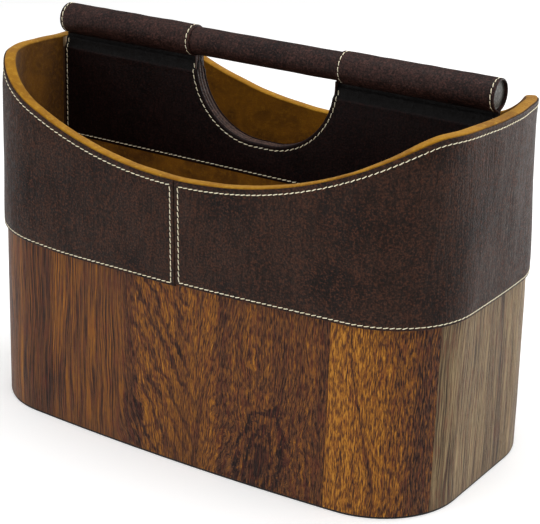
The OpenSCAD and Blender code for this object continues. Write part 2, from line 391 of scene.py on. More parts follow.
class Net:
    """The node tree of one material, built by short calls."""

    def __init__(self, name):
        self.material = bpy.data.materials.new(name)
        self.material.use_nodes = True
        self.tree = self.material.node_tree
        self.shader = self.tree.nodes["Principled BSDF"]

    def put(self, socket, value):
        if isinstance(value, bpy.types.NodeSocket):
            self.tree.links.new(value, socket)
        else:
            socket.default_value = value

    def node(self, kind, inputs=None, **settings):
        made = self.tree.nodes.new("ShaderNode" + kind)
        for key, value in settings.items():
            setattr(made, key, value)
        for key, value in (inputs or {}).items():
            self.put(made.inputs[key], value)
        return made

    def math(self, operation, a, b=0.0, clamp=False):
        return self.node("Math", {0: a, 1: b}, operation=operation, use_clamp=clamp).outputs[0]

    def add(self, a, b):
        return self.math("ADD", a, b)

    def minus(self, a, b):
        return self.math("SUBTRACT", a, b)

    def times(self, a, b):
        return self.math("MULTIPLY", a, b)

    def span(self, value, low, high, to_low=0.0, to_high=1.0):
        inputs = {0: value, 1: low, 2: high, 3: to_low, 4: to_high}
        return self.node("MapRange", inputs, interpolation_type="SMOOTHSTEP").outputs[0]

    def hill(self, value, centre, width):
        """1 where value is at centre, falling to 0 a few widths away."""
        away = self.math("DIVIDE", self.minus(value, centre), width)
        return self.math("POWER", math.e, self.times(self.times(away, away), -1.0))

    def mix(self, factor, a, b):
        return self.node("Mix", {0: factor, 6: a, 7: b}, data_type="RGBA").outputs[2]

    def ramp(self, factor, stops):
        made = self.node("ValToRGB", {0: factor})
        elements = made.color_ramp.elements
        while len(elements) < len(stops):
            elements.new(0.5)
        for element, (place, colour) in zip(elements, stops):
            element.position = place
            element.color = colour
        return made.outputs[0]

    def scaled(self, vector, *scale):
        return self.node("Mapping", {"Vector": vector, "Scale": scale}).outputs[0]

    def place(self, scale=(1, 1, 1)):
        """Object coordinates in metres, times a scale."""
        return self.scaled(self.node("TexCoord").outputs["Object"], *scale)

    def noise(self, vector, scale, detail=3.0, rough=0.5, distort=0.0):
        inputs = {"Vector": vector, "Scale": scale, "Detail": detail, "Roughness": rough}
        inputs["Distortion"] = distort
        return self.node("TexNoise", inputs).outputs[0]

    def cells(self, vector, scale, feature="F1"):
        inputs = {"Vector": vector, "Scale": scale}
        return self.node("TexVoronoi", inputs, feature=feature).outputs["Distance"]

    def bump(self, height, distance, strength=1.0, under=None):
        inputs = {"Strength": strength, "Distance": distance, "Height": height}
        if under is not None:
            inputs["Normal"] = under
        return self.node("Bump", inputs).outputs[0]

    def finish(self, colour, roughness, normal=None, **constants):
        self.put(self.shader.inputs["Base Color"], colour)
        self.put(self.shader.inputs["Roughness"], roughness)
        if normal is not None:
            self.put(self.shader.inputs["Normal"], normal)
        for name, value in constants.items():
            self.shader.inputs[name.replace("_", " ")].default_value = value
        return self.material

    def two_tone(self, field, edges, first, second, relief, rough, **constants):
        """Two tones, a bump and a roughness that all follow one field."""
        tone = self.mix(self.span(field, *edges), first, second)
        return self.finish(tone, self.span(field, *rough), self.bump(field, *relief), **constants)


def leather(name, deep, body, warm, rough=0.5, level=0.25, crease=1.0, painted_shade_above=None):
    """Oiled leather: mottled, finely pebbled, with upright creases.

    Above the height given as the last argument, in millimetres, it turns nearly black: painted shade for the
    dowel's shadow over the neck."""
    net = Net(name)
    where = net.place()
    cloud = net.noise(where, 22.0, 4.0, 0.6)
    mottle = net.noise(where, 210.0, 4.0, 0.7)
    upright = net.noise(net.place((1, 1, 0.14)), 420.0, 4.0, 0.6, 0.6)
    pebble = net.cells(where, 820.0, "SMOOTH_F1")
    fine = net.noise(where, 2400.0, 2.0, 0.6)
    tone = net.mix(net.span(cloud, 0.3, 0.6), deep, body)
    tone = net.mix(net.times(net.span(mottle, 0.45, 0.72), 0.4), tone, warm)
    speck = net.noise(where, 620.0, 3.0, 0.7)
    tone = net.mix(net.times(net.span(speck, 0.5, 0.64), 0.75), tone, warm)
    tone = net.mix(net.times(net.span(speck, 0.49, 0.37), 0.8), tone, deep)
    lines = net.span(upright, 0.36, 0.5)
    tone = net.mix(net.times(net.minus(1.0, lines), 0.5), tone, deep)
    pits = net.span(pebble, 0.25, 0.75)
    tone = net.mix(net.times(pits, 0.35), tone, deep)
    # Painted shade: the colour goes nearly black above the given height, standing in for the dowel's shadow
    # on the neck.
    if painted_shade_above:
        height = net.node("SeparateXYZ", {0: where}).outputs[2]
        neck_shade = net.span(height, painted_shade_above * MM, (painted_shade_above + 1.6) * MM)
        tone = net.mix(neck_shade, tone, srgb(7, 4, 4))
    low = net.bump(net.add(net.times(upright, 0.9 * crease), cloud), 0.0012, 0.55)
    normal = net.bump(net.add(net.times(pebble, -0.8), net.times(fine, 0.4)), 0.00035, 0.8, low)
    shine = net.add(net.span(mottle, 0.3, 0.7, rough - 0.07, rough + 0.1), net.times(pits, 0.06))
    return net.finish(tone, shine, normal, Specular_IOR_Level=level)


def suede(name, deep, body, pale):
    """Suede: soft nap with brushed patches and fine fibres."""
    net = Net(name)
    where = net.place()
    brushed = net.noise(where, 26.0, 3.0, 0.55, 0.8)
    nap = net.noise(where, 260.0, 4.0, 0.7)
    fibre = net.noise(where, 1500.0, 3.0, 0.7)
    tone = net.mix(net.span(brushed, 0.35, 0.65), deep, body)
    tone = net.mix(net.times(net.span(nap, 0.45, 0.7), 0.6), tone, pale)
    tone = net.mix(net.times(net.span(fibre, 0.35, 0.6, 1.0, 0.0), 0.4), tone, deep)
    low = net.bump(nap, 0.0008, 0.5)
    normal = net.bump(fibre, 0.0003, 0.8, low)
    material = net.finish(tone, net.span(nap, 0.3, 0.7, 0.85, 1.0), normal, Specular_IOR_Level=0.1)
    net.shader.inputs["Sheen Weight"].default_value = 0.1
    net.shader.inputs["Sheen Roughness"].default_value = 0.5
    return material


def thread():
    """Twisted linen thread."""
    net = Net("thread")
    twist = net.noise(net.place(), 1900.0, 2.0, 0.5)
    return net.two_tone(twist, (0.35, 0.65), srgb(238, 222, 178), srgb(255, 250, 228), (0.0002, 0.6),
                        (0.3, 0.7, 0.5, 0.75), Specular_IOR_Level=0.3)


def plain_wood(name, pale, dark):
    """Straight-grained board for the parts under the covers."""
    net = Net(name)
    grain = net.noise(net.place((1, 1, 0.06)), 540.0, 4.0, 0.6, 0.3)
    ring = net.noise(net.place((1, 1, 0.1)), 90.0, 3.0, 0.5, 1.0)
    tone = net.mix(net.span(ring, 0.3, 0.7), pale, dark)
    tone = net.mix(net.times(net.span(grain, 0.5, 0.7), 0.5), tone, dark)
    normal = net.bump(grain, 0.0004, 0.5)
    return net.finish(tone, net.span(grain, 0.3, 0.7, 0.5, 0.65), normal, Specular_IOR_Level=0.3)


def foam():
    net = Net("foam")
    cell = net.cells(net.place(), 1400.0)
    return net.two_tone(cell, (0.2, 0.7), srgb(60, 58, 54), srgb(110, 106, 98), (0.0006, 0.7),
                        (0.2, 0.8, 0.85, 1.0), Specular_IOR_Level=0.1)


def steel():
    net = Net("screw_steel")
    mark = net.noise(net.place((1, 1, 0.1)), 1800.0, 3.0, 0.5)
    return net.two_tone(mark, (0.3, 0.7), srgb(150, 150, 146), srgb(205, 205, 200), (0.0001, 0.4),
                        (0.3, 0.7, 0.25, 0.45), Metallic=1.0)


def base_cloth():
    net = Net("base_cover_black")
    where = net.place()
    pebble = net.cells(where, 900.0)
    cloud = net.noise(where, 60.0, 3.0, 0.5)
    tone = net.mix(net.span(cloud, 0.3, 0.7), srgb(18, 17, 17), srgb(34, 32, 31))
    normal = net.bump(pebble, 0.0004, 0.6)
    return net.finish(tone, net.span(pebble, 0.2, 0.8, 0.55, 0.75), normal, Specular_IOR_Level=0.3)


def floor_white():
    net = Net("studio_floor")
    cloud = net.noise(net.place(), 3.0, 2.0, 0.5)
    tone = net.mix(net.span(cloud, 0.3, 0.7), (0.9, 0.9, 0.9, 1), (0.94, 0.94, 0.94, 1))
    material = net.finish(tone, 0.9, None, Specular_IOR_Level=0.1)
    net.shader.inputs["Emission Color"].default_value = (1, 1, 1, 1)
    net.shader.inputs["Emission Strength"].default_value = 0.24
    return material


# Tones of the veneer from its darkest pores to its palest streaks
BROWN = [(0.0, srgb(28, 16, 14)), (0.3, srgb(72, 43, 29)), (0.5, srgb(105, 65, 33)),
         (0.72, srgb(140, 87, 27)), (1.0, srgb(192, 130, 46))]
# Paler, greyer copy of the brown tones for the end leaves: painted reflection, the sheen of the pale
# surroundings that the ends show at a slant.
GREY_SHEEN_TONES = [(0.0, srgb(50, 37, 27)), (0.3, srgb(86, 68, 48)), (0.5, srgb(114, 95, 68)),
        (0.72, srgb(142, 121, 87)), (1.0, srgb(176, 155, 118))]


def veneer(name, tones, stops, slants=(), vee=None, knot=None, calm=None, pores=1.0, streaks=1.0):
    """Open-pored veneer in path coordinates: s and z in millimetres.

    stops are (s, tone) across the leaf. slants are (s at the top, s at the
    floor, width, depth) of darker bands. vee is (left, point, right) of grain
    that fans out from a point at the floor, with slanted bands on its left.
    knot is (s, z, half width, half height) of an eye with rings round it.
    calm is the (low, high) s over which long streaks give way to flecks."""
    net = Net(name)
    lay = net.node("Attribute", attribute_name="lay").outputs["Vector"]
    parts = net.node("SeparateXYZ", {0: lay})
    s, z = parts.outputs[0], parts.outputs[1]
    drift = net.noise(net.scaled(lay, 0.02, 0.007, 1), 1.0, 3.0, 0.5)
    wander = net.times(net.minus(drift, 0.5), 16.0)
    bend = wander
    lines = 0.0
    if knot:
        ks, kz, kw, kh = knot
        up = net.minus(z, kz)
        tall = net.span(up, -12, 12, kh * 1.8, kh)
        dx = net.math("DIVIDE", net.minus(net.minus(s, ks), net.times(up, 0.17)), kw)
        dz = net.math("DIVIDE", up, tall)
        far = net.math("SQRT", net.add(net.times(dx, dx), net.times(dz, dz)))
        ragged = net.noise(lay, 0.1, 5.0, 0.7)
        far = net.add(far, net.times(net.minus(ragged, 0.5), 0.8))
        near = net.span(far, 1.5, 0.8)
        ring = net.math("SINE", net.times(far, 19.0))
        rings = net.times(net.span(ring, -0.4, 1.0), net.times(near, net.span(far, 0.1, 0.4)))
        eye = net.span(far, 0.36, 0.12)
        lines = net.add(net.times(rings, 0.38), net.times(eye, 0.36))
        lines = net.minus(lines, net.times(net.hill(far, 1.04, 0.09), 0.2))
        bend = net.add(bend, net.times(net.times(dx, net.hill(far, 0.0, 1.2)), 9.0))
    if vee:
        left, point, right = vee
        uneven = net.noise(lay, 0.035, 4.0, 0.6)
        field = net.add(net.add(z, net.times(s, 1.5)), net.times(uneven, 60.0))
        arch = net.math("SINE", net.times(field, 2 * math.pi / 23.0))
        reach = net.times(net.span(s, left - 8, left + 6), net.span(s, point + 14, point - 8))
        patchy = net.span(net.noise(lay, 0.02, 2.0, 0.5), 0.4, 0.6, 0.5, 1.0)
        mark = net.times(net.times(net.span(arch, 0.0, 1.0), reach), patchy)
        lines = net.add(lines, net.times(mark, 0.38))
        fan = net.times(net.span(s, left - 34, left + 16), net.span(s, point - 22, point + 22, 1.0, -1.0))
        fan = net.times(fan, net.span(s, right + 34, right - 16))
        bend = net.add(bend, net.times(fan, net.times(net.minus(z, 110.0), 0.17)))
    for top, bottom, width, depth in slants:
        along = net.span(z, 0.0, 142.0, bottom, top)
        band = net.hill(net.add(s, net.times(wander, 0.35)), along, width)
        lines = net.add(lines, net.times(band, depth))
    first, last = stops[0][0], stops[-1][0]
    share = net.node("MapRange", {0: net.add(s, net.times(wander, 0.18)), 1: first, 2: last}).outputs[0]
    base = net.ramp(share, [((p - first) / (last - first), (t, t, t, 1)) for p, t in stops])
    grain_s = net.add(s, bend)
    flat = net.node("CombineXYZ", {0: grain_s, 1: z}).outputs[0]

    def streak(scale_s, scale_z, detail=3.0, rough=0.55):
        return net.noise(net.scaled(flat, scale_s, scale_z, 1), 1.0, detail, rough)

    broad = streak(0.11, 0.006)
    narrow = streak(0.42, 0.012, 5.0, 0.7)
    long = streak(0.85, 0.016, 3.0, 0.65)
    fleck = streak(1.05, 0.16, 2.0, 0.5)
    fibre = streak(0.8, 0.1, 3.0, 0.7)
    red = streak(0.55, 0.05, 3.0, 0.6)
    short = net.span(s, calm[0], calm[1], 0.2, 1.0) if calm else 1.0
    tone = net.add(base, net.times(net.minus(broad, 0.5), 0.5 * streaks))
    tone = net.add(tone, net.times(net.minus(narrow, 0.5), 0.7 * streaks))
    tone = net.add(tone, net.times(net.minus(long, 0.5), net.span(short, 0.0, 1.0, 1.3, 0.5)))
    tone = net.add(tone, net.times(net.minus(fibre, 0.46), net.times(short, 1.45 * pores)))
    pore = net.times(net.span(fleck, 0.54, 0.4), short)
    cut = net.times(net.span(long, 0.5, 0.4), net.minus(1.0, net.times(short, 0.8)))
    tone = net.add(tone, 0.05)
    tone = net.minus(tone, net.times(pore, 0.28 * pores))
    tone = net.minus(tone, net.times(cut, 0.26))
    tone = net.math("SUBTRACT", tone, lines, clamp=True)
    colour = net.ramp(tone, tones)
    colour = net.mix(net.times(net.span(red, 0.48, 0.64), 0.3), colour, srgb(112, 50, 34))
    low = net.bump(net.add(narrow, net.times(fibre, 0.4)), 0.0002, 0.5)
    normal = net.bump(net.times(net.add(pore, cut), -1.0), 0.00025, 0.8, low)
    shine = net.span(narrow, 0.3, 0.7, 0.42, 0.52)
    return net.finish(colour, net.add(shine, net.times(pore, 0.15)), normal, Specular_IOR_Level=0.12)


LEATHER = leather("band_leather", srgb(19, 12, 9), srgb(49, 33, 25), srgb(86, 50, 35), 0.5, 0.12)
# Divider leather, with painted shade near black on the neck under the dowel.
DIVIDER_LEATHER_SHADED_NECK = leather("divider_leather_dark_painted_neck_shade", srgb(10, 5, 6), srgb(24, 13, 13), srgb(46, 24, 21),
                       0.5, 0.12, painted_shade_above=CORE_TOP + 0.6)
HANDLE_LEATHER = leather("handle_leather", srgb(20, 12, 12), srgb(51, 33, 29), srgb(82, 52, 46),
                         0.48, 0.15, 0.6)
EDGE_LEATHER = leather("edge_leather", srgb(30, 19, 17), srgb(74, 52, 44), srgb(112, 82, 70), 0.5, 0.25)
# Grey-green tone on the end discs: painted reflection, the sheen of the pale surroundings that the end faces
# show at a slant.
DISC_LEATHER_SHEEN = leather("disc_leather_painted_sheen", srgb(34, 32, 28), srgb(78, 76, 68), srgb(96, 92, 82), 0.42, 0.4)
SUEDE = suede("suede_ochre", srgb(98, 59, 4), srgb(144, 92, 7), srgb(162, 109, 15))
# Painted light: a paler copy of the ochre lining suede, for the rim roll where light falls on the top of the
# walls.
LIT_RIM_SUEDE = suede("suede_rim", srgb(138, 92, 16), srgb(168, 119, 28), srgb(194, 148, 50))
THREAD = thread()
BOARD = plain_wood("board_birch", srgb(190, 158, 116), srgb(150, 116, 78))
FOAM = foam()


# ---- Walls ----


def seam_distance(s):
    """Distance from the nearer of the two seams, front and back."""
    s = np.abs(around(s))
    return np.minimum(s, HALF_WAY - s)


def band_face(s, z):
    """Offset of the leather, which swells between its stitch lines."""
    low = hem(s) + HEM_STITCH
    top = crest(s) - RIM_SHOW - RIM_STITCH
    beyond = seam_distance(s) - SEAM_STITCH
    plump = swell(z - low, 7) * swell(top - z, 7) * swell(beyond, 9)
    grooves = dip(z - low) + dip(z - top)
    grooves = grooves + dip(beyond) * ((z > low) & (z < top))
    ripple = 0.3 * waves(s, z, 60, 190, 1) + 0.1 * waves(s, z, 16, 70, 2)
    edge = fold(seam_distance(s) - SEAM_GAP / 2, 1.0, 0.6)
    return BAND_OUT + plump * (0.45 + ripple) - 0.3 * np.minimum(grooves, 1) - edge


def seam_line(s, z):
    """Place s moved so that the front seam leans to the left at its top."""
    shift = SEAM_LEAN - 2 * SEAM_LEAN * np.clip((z - BAND_Z) / 80, 0, 1)
    return s + shift * dip(s, 45)


def band_surface(s, z):
    return on_wall(seam_line(s, z), band_face(s, z), z)


def leather_band(name, start, end, node):
    """One half of the leather band as a closed profile with folded edges."""
    near = (0.0, 0.3, 0.7, 1.1, 1.6, 2.2, 2.6, 3.0, 3.4, 3.9, 4.6, 6.0, 8.0, 10.5, 13.5, 17)
    s = steps(start, end, 2.6, near)[:, None]
    low, top = hem(s), crest(s) - RIM_SHOW
    rise = np.array([1.25, 1.6, 1.95, 2.3, 2.65, 3.0, 3.6, 4.6, 6.2, 8.5, 12])
    drop = np.array([12, 8.5, 6.4, 5.2, 4.7, 4.35, 4.0, 3.65, 3.3, 2.8, 2.0, 1.3, 0.8])
    share = np.linspace(0, 1, 18)[1:-1]
    height = np.concatenate([low + rise, low + 12 + (top - low - 24) * share, top - drop], 1)
    face = band_face(s, height)
    shut = face[:, -1:] - O_LEATHER
    across = np.array([0.86, 0.5, 0.14, 0.0])
    over_z = np.concatenate([top - 0.25, top - 0.02, top - 0.2, top - 0.6], 1)
    over_o = O_LEATHER + shut * across
    inner_z = np.concatenate([top - 12, low + HEM_H + 1, low + HEM_H, low + 1.25], 1)
    inner_o = np.array([[O_LEATHER, O_LEATHER, 0.06, 0.06]]) + 0 * s
    under = face[:, :1]
    under_z = np.concatenate([low + 0.4, low, low + 0.1, low + 0.5], 1)
    under_o = np.concatenate([under * 0.14, under * 0.45, under * 0.75, under * 0.94], 1)
    z = np.concatenate([height, over_z, inner_z, under_z], 1)
    offset = np.concatenate([face, over_o, inner_o, under_o], 1)
    points = on_wall(seam_line(s, z), offset, z)
    lay = np.stack([np.broadcast_to(s, z.shape), z], -1)
    return piece(name, points, loft_faces(points, False), LEATHER, [node], lay)


def outward_of_box(path):
    """Directions away from the box's middle plane, for turning normals outward."""
    away = path.copy()
    away[..., 2] = 0
    away[..., 0] *= 0.5
    return away


def band_stitches(side):
    """Rim, hem and seam stitches of one half of the band."""
    gap = SEAM_STITCH
    s = np.arange(gap, HALF_WAY - gap + 0.01, 0.8) * side
    rim = run_on(band_surface, s, crest(s) - RIM_SHOW - RIM_STITCH, outward_of_box)
    low = run_on(band_surface, s, hem(s) + HEM_STITCH, outward_of_box)
    runs = [rim, low]
    for place in (gap * side, (HALF_WAY - gap) * side):
        bottom = hem(np.array(place)) + HEM_STITCH
        top = crest(np.array(place)) - RIM_SHOW - RIM_STITCH
        z = np.arange(float(bottom), float(top), 0.8)
        runs.append(run_on(band_surface, np.full(len(z), place), z, outward_of_box))
    name = "band_stitches_right" if side > 0 else "band_stitches_left"
    stitches(name, runs)


def rim_roll():
    """Suede turned over the top of the walls and down under the leather."""
    s = np.linspace(-HALF_WAY, HALF_WAY, 640, endpoint=False)
    offset = np.array([1.2, 1.25, 1.36, 1.2, 0.7, -0.2, -1.5, -3.0, -4.6, -5.8, -6.5, -6.82,
                       -6.9, -6.88, -5.9, -5.9, 0.3, 0.35])
    down = np.array([9.5, 1.9, 1.25, 0.6, 0.25, 0.06, 0.0, 0.0, 0.08, 0.3, 0.62, 0.95,
                     1.25, 1.6, 1.6, 1.45, 1.45, 9.5])
    top = crest(s)[:, None] + 0.12 * waves(s, 0 * s, 34, 100, 3)[:, None]
    bulge = 0.1 * waves(s, 0 * s, 50, 100, 4)[:, None]
    shape = offset + bulge * (down < 1.5)
    # The roll takes the paler copy of the suede, which paints in the light on the top of the walls.
    wall_piece("rim_roll", s, shape, top - down, LIT_RIM_SUEDE, ["rim_suede"], ring=True)


def lining_piece(name, start, end, node):
    """Suede lining of one pocket, slightly uneven over the boards."""
    s = steps(start, end, 4.0)[:, None]
    top = crest(s) - 1.2
    share = np.linspace(0, 1, 26)
    inner_z = BASE_TOP + (top - BASE_TOP) * share
    edges = swell(s - start, 8) * swell(end - s, 8)
    soft = 0.32 * waves(s, inner_z, 90, 120, 5) * edges * swell(top - inner_z, 12)
    inner_o = O_INSIDE + soft
    z = np.concatenate([inner_z, top, BASE_TOP + 0 * s], 1)
    offset = np.concatenate([inner_o, O_LINING - 0.05 + 0 * s, O_LINING - 0.05 + 0 * s], 1)
    wall_piece(name, s[:, 0], offset, z, SUEDE, [node])


def wall_board(node, start, end):
    """A board of the wall, from the black cover up to just below the rim."""
    s = steps(start, end, 4.0, (0, 0.12))[:, None]
    top = crest(s) - 1.6
    bottom = COVER_T + 0 * s
    z = np.concatenate([bottom, top * 0.5, top, top, top * 0.5, bottom], 1)
    offset = np.repeat([O_BOARD, O_LINING], 3) + 0 * z
    wall_piece("board_" + node, s[:, 0], offset, z, BOARD, [node])


def leaf(node, start, end, material, origin):
    """One veneer leaf with a fine chamfer along its two joints."""
    s = steps(start, end, 2.6, (0.0, 0.16, 0.4))
    top = BAND_Z + HEM_H
    rows = np.array([COVER_T, COVER_T + 0.25, 40.0, 80.0, 120.0, top])
    near = np.minimum(s - start, end - s)[:, None]
    joint = fold(near, 0.16, 0.16)
    face = -joint - np.array([0.22, 0.0, 0.0, 0.0, 0.0, 0.0])
    z = np.concatenate([rows, rows[::-1]]) + 0 * joint
    offset = np.concatenate([face, np.full((len(s), len(rows)), O_BOARD)], 1)
    wall_piece(node + "_leaf", s, offset, z, material, [node], origin=origin)


def build_walls():
    leather_band("leather_band_left", SEAM_GAP / 2 - HALF_WAY, -SEAM_GAP / 2, "leather_left")
    leather_band("leather_band_right", SEAM_GAP / 2, HALF_WAY - SEAM_GAP / 2, "leather_right")
    band_stitches(-1)
    band_stitches(1)
    rim_roll()
    pocket = QUARTER - CORE_Y - 0.2
    lining_piece("pocket_lining_front", -pocket, pocket, "lining_front")
    lining_piece("pocket_lining_back", HALF_WAY - pocket, HALF_WAY + pocket, "lining_back")
    s = np.linspace(-HALF_WAY, HALF_WAY, 320, endpoint=False)[:, None]
    top = crest(s)
    z = np.concatenate([BAND_Z + HEM_H + 0 * s, top - RIM_FLAP - 1, top - RIM_FLAP - 0.5,
                        top - 2, top - 2, BAND_Z + HEM_H + 0 * s], 1)
    offset = np.array([O_LEATHER - 0.1, O_LEATHER - 0.1, 0.2, 0.2, O_BOARD, O_BOARD]) + 0 * z
    wall_piece("foam_backing", s[:, 0], offset, z, FOAM, ["band_padding"], ring=True)
    end_s = SIDE_S + CORNER_S
    spans = {
        "wall_front": (-LEAF_S, LEAF_S), "wall_back": (HALF_WAY - LEAF_S, HALF_WAY + LEAF_S),
        "wall_right": (end_s, HALF_WAY - end_s), "wall_left": (end_s - HALF_WAY, -end_s),
        "corner_front_right": (LEAF_S, end_s), "corner_front_left": (-end_s, -LEAF_S),
        "corner_back_right": (HALF_WAY - end_s, HALF_WAY - LEAF_S),
        "corner_back_left": (LEAF_S - HALF_WAY, end_s - HALF_WAY),
    }
    for node, (start, end) in spans.items():
        wall_board(node, start, end)


def build_veneer():
    """Eight leaves, with the grain figured for each one."""
    dark = veneer("veneer_front_figured", BROWN,
                  [(-124, 0.5), (-96, 0.44), (-62, 0.42), (-52, 0.4), (-38, 0.54), (0, 0.52), (28, 0.54),
                   (42, 0.38), (60, 0.42), (84, 0.4), (104, 0.38), (124, 0.34)],
                  [(-49, -40, 5.0, 0.17), (35, 13, 2.4, 0.2), (38, 36, 3.5, 0.12)],
                  vee=(-42, 6, 40), knot=(70, 23, 24, 55), calm=(-62, -38))
    back = veneer("veneer_back_figured", BROWN,
                  [(-124, 0.42), (-90, 0.5), (-40, 0.54), (-10, 0.44), (30, 0.52), (70, 0.46), (124, 0.38)],
                  [(-88, -64, 7.0, 0.12), (60, 76, 4.0, 0.12)], vee=(-24, 22, 56), calm=(-90, -60))
    warm = veneer("veneer_warm_straight", BROWN,
                  [(123, 0.74), (140, 0.72), (152, 0.66), (172, 0.58), (186, 0.5), (194, 0.33), (209, 0.32)],
                  [(144.5, 165.5, 1.3, 0.28)], pores=1.3, streaks=0.8)
    reddish = veneer("veneer_reddish_straight", BROWN,
                     [(-210, 0.4), (-171, 0.4), (-157, 0.42), (-154, 0.66), (-151, 0.34), (-136, 0.3),
                      (-119, 0.32)], [(-128, -124, 4.0, 0.06)], calm=(0, 9), pores=0.6)
    # End leaves: straight grain with the greyed tones, a painted reflection of the pale surroundings.
    sheen_grey = veneer("veneer_straight_painted_sheen", GREY_SHEEN_TONES,
                  [(-75, 0.4), (-30, 0.46), (10, 0.42), (45, 0.5), (75, 0.42)],
                  [(14, 22, 5.0, 0.16)], calm=(200, 220), pores=1.0, streaks=1.6)
    leaf("veneer_front", LEAF_SHIFT - LEAF_S, LEAF_SHIFT + LEAF_S, dark, LEAF_SHIFT)
    leaf("veneer_back", HALF_WAY - LEAF_S, HALF_WAY + LEAF_S, back, HALF_WAY)
    leaf("veneer_front_right", LEAF_SHIFT + LEAF_S, END_LEAF_S, warm, 0)
    leaf("veneer_back_left", HALF_WAY + LEAF_S, HALF_WAY + END_LEAF_S, warm, HALF_WAY)
    leaf("veneer_front_left", -END_LEAF_S, LEAF_SHIFT - LEAF_S, reddish, 0)
    leaf("veneer_back_right", HALF_WAY - END_LEAF_S, HALF_WAY - LEAF_S, reddish, HALF_WAY)
    leaf("veneer_right", END_LEAF_S, HALF_WAY - END_LEAF_S, sheen_grey, QUARTER)
    leaf("veneer_left", END_LEAF_S - HALF_WAY, -END_LEAF_S, sheen_grey, -QUARTER)


# ---- Divider ----


def hole_distance(x, z):
    """Distance outside the edge of the hand hole."""
    across = np.maximum(np.abs(x) - HOLE_FLAT, 0)
    below = np.where(z < HOLE_CZ, z - HOLE_CZ, 0)
    return np.hypot(across, below) - HOLE_R


def panel_face(x, z):
    """Distance of the divider leather from the middle plane of the divider."""
    hole = hole_distance(x, z)
    end = PANEL_HALF - np.abs(x)
    bottom = z - PANEL_Z
    body = PANEL_Y - 2.2 * smooth((z - CORE_TOP - 0.8) / 4.0)
    body = body - 2.3 * smooth((z - 275.5) / 3.8) + 0.35 * dip(z - CORE_TOP - 0.1, 1.2)
    plump = swell(hole - HOLE_STITCH, 8) * swell(end - EDGE_STITCH, 8) * swell(bottom - EDGE_STITCH, 8)
    ripple = 0.22 * waves(x, z, 40, 160, 6) + 0.08 * waves(x, z, 12, 60, 7)
    grooves = dip(hole - HOLE_STITCH) + dip(end - EDGE_STITCH) + dip(bottom - EDGE_STITCH)
    edge = fold(np.minimum(np.minimum(hole, end), bottom), 1.3, 1.15)
    fade = np.clip((CORE_TOP + 4 - z) / 8, 0, 1)
    return body + plump * (0.3 + ripple) * fade - 0.3 * np.minimum(grooves, 1) - edge


NECK_TOP = 281.3
STITCH_TOP = 276.5


def panel_rays():
    """Start and end points of rays from the hole to the outline, right half, top first."""
    upper = np.array([NECK_TOP, 279.8, 278.4, 277.5, 276.5, 275.5, 273,
                      270.5, 269.3, 268.5, 267.7, 266, 263, 259])
    near = HOLE_FLAT + np.sqrt(HOLE_R**2 - np.minimum(upper - HOLE_CZ, 0) ** 2)
    starts = list(zip(near, upper))
    ends = [(PANEL_HALF, z) for z in upper]
    first = math.asin((HOLE_CZ - upper[-1]) / HOLE_R)
    side, foot = upper[-1] - PANEL_Z, PANEL_HALF - HOLE_FLAT
    corner = side / (side + foot)
    share = np.concatenate([np.linspace(0, corner, 10)[1:], np.linspace(corner, 1, 30)[1:]])
    for f in share:
        angle = first + f * (math.pi / 2 - first)
        starts.append((HOLE_FLAT + HOLE_R * math.cos(angle), HOLE_CZ - HOLE_R * math.sin(angle)))
        gone = f * (side + foot)
        ends.append((PANEL_HALF, upper[-1] - gone) if gone <= side
                    else (PANEL_HALF - (gone - side), PANEL_Z))
    starts.append((0.0, HOLE_CZ - HOLE_R))
    ends.append((0.0, PANEL_Z))
    return np.array(starts), np.array(ends)


def divider_panel(name, side, replaces=()):
    """Leather panel on one face of the divider, in a U round the hand hole."""
    starts, ends = panel_rays()
    mirror = np.array([-1.0, 1.0])
    starts = np.concatenate([starts, starts[-2::-1] * mirror])
    ends = np.concatenate([ends, ends[-2::-1] * mirror])
    span = np.linalg.norm(ends - starts, axis=1)[:, None]
    near = np.array([0, 0.15, 0.4, 0.8, 1.3, 2.0, 2.7, 3.0, 3.3, 3.6, 4.0, 4.8, 6.2, 8.5])
    far = np.array([8.5, 6, 4.4, 3.5, 3.1, 2.7, 2.3, 1.9, 1.3, 0.8, 0.4, 0.15, 0.0])
    share = np.linspace(0, 1, 34)[1:-1]
    reach = np.concatenate([near + 0 * span, 8.5 + (span - 17) * share, span - far], 1) / span
    flat = starts[:, None] + (ends - starts)[:, None] * reach[..., None]
    x, z = flat[..., 0], flat[..., 1]
    front = np.stack([x, side * panel_face(x, z), z], -1)
    inner = CORE_Y + 0.04 - (CORE_Y - 0.1) * smooth((z - CORE_TOP) / 10.0)
    back = np.stack([x, side * np.minimum(inner, panel_face(x, z) - 0.05), z], -1)
    return shell(name, front, back, DIVIDER_LEATHER_SHADED_NECK, replaces)


def sleeve_path():
    """Outer outline of the folded leather: neck, fillet and round, in y and z."""
    lip = math.radians(16)
    turn = np.linspace(lip, 2 * math.pi - lip, 56)
    y = -SLEEVE_R * np.sin(turn)
    z = HANDLE_Z - SLEEVE_R * np.cos(turn)
    neck_y = np.array([-1.15, -1.2, -1.45, -2.1])
    neck_z = np.array([277.0, 278.9, 279.7, 280.15])
    return (np.concatenate([neck_y, y, -neck_y[::-1]]), np.concatenate([neck_z, z, neck_z[::-1]]))


def sleeve_surface(x, t):
    """Point of the sleeve's outer face at x and share t round its outline."""
    y0, z0 = sleeve_path()
    place = np.linspace(0, 1, len(y0))
    y, z = np.interp(t, place, y0), np.interp(t, place, z0)
    end = np.minimum(PANEL_HALF - np.abs(x), np.abs(x) - SLEEVE_START)
    loose = 0.12 * waves(x, t * 60, 26, 50, 8) * swell(end - EDGE_STITCH, 5)
    grow = 1 + (loose - 0.25 * dip(end - EDGE_STITCH) - fold(end, 1.3, 0.9)) / SLEEVE_R
    grow = np.where(z < 280.0, 1.0, grow)
    return np.stack([x + 0 * y, y * grow, HANDLE_Z + (z - HANDLE_Z) * grow], -1)


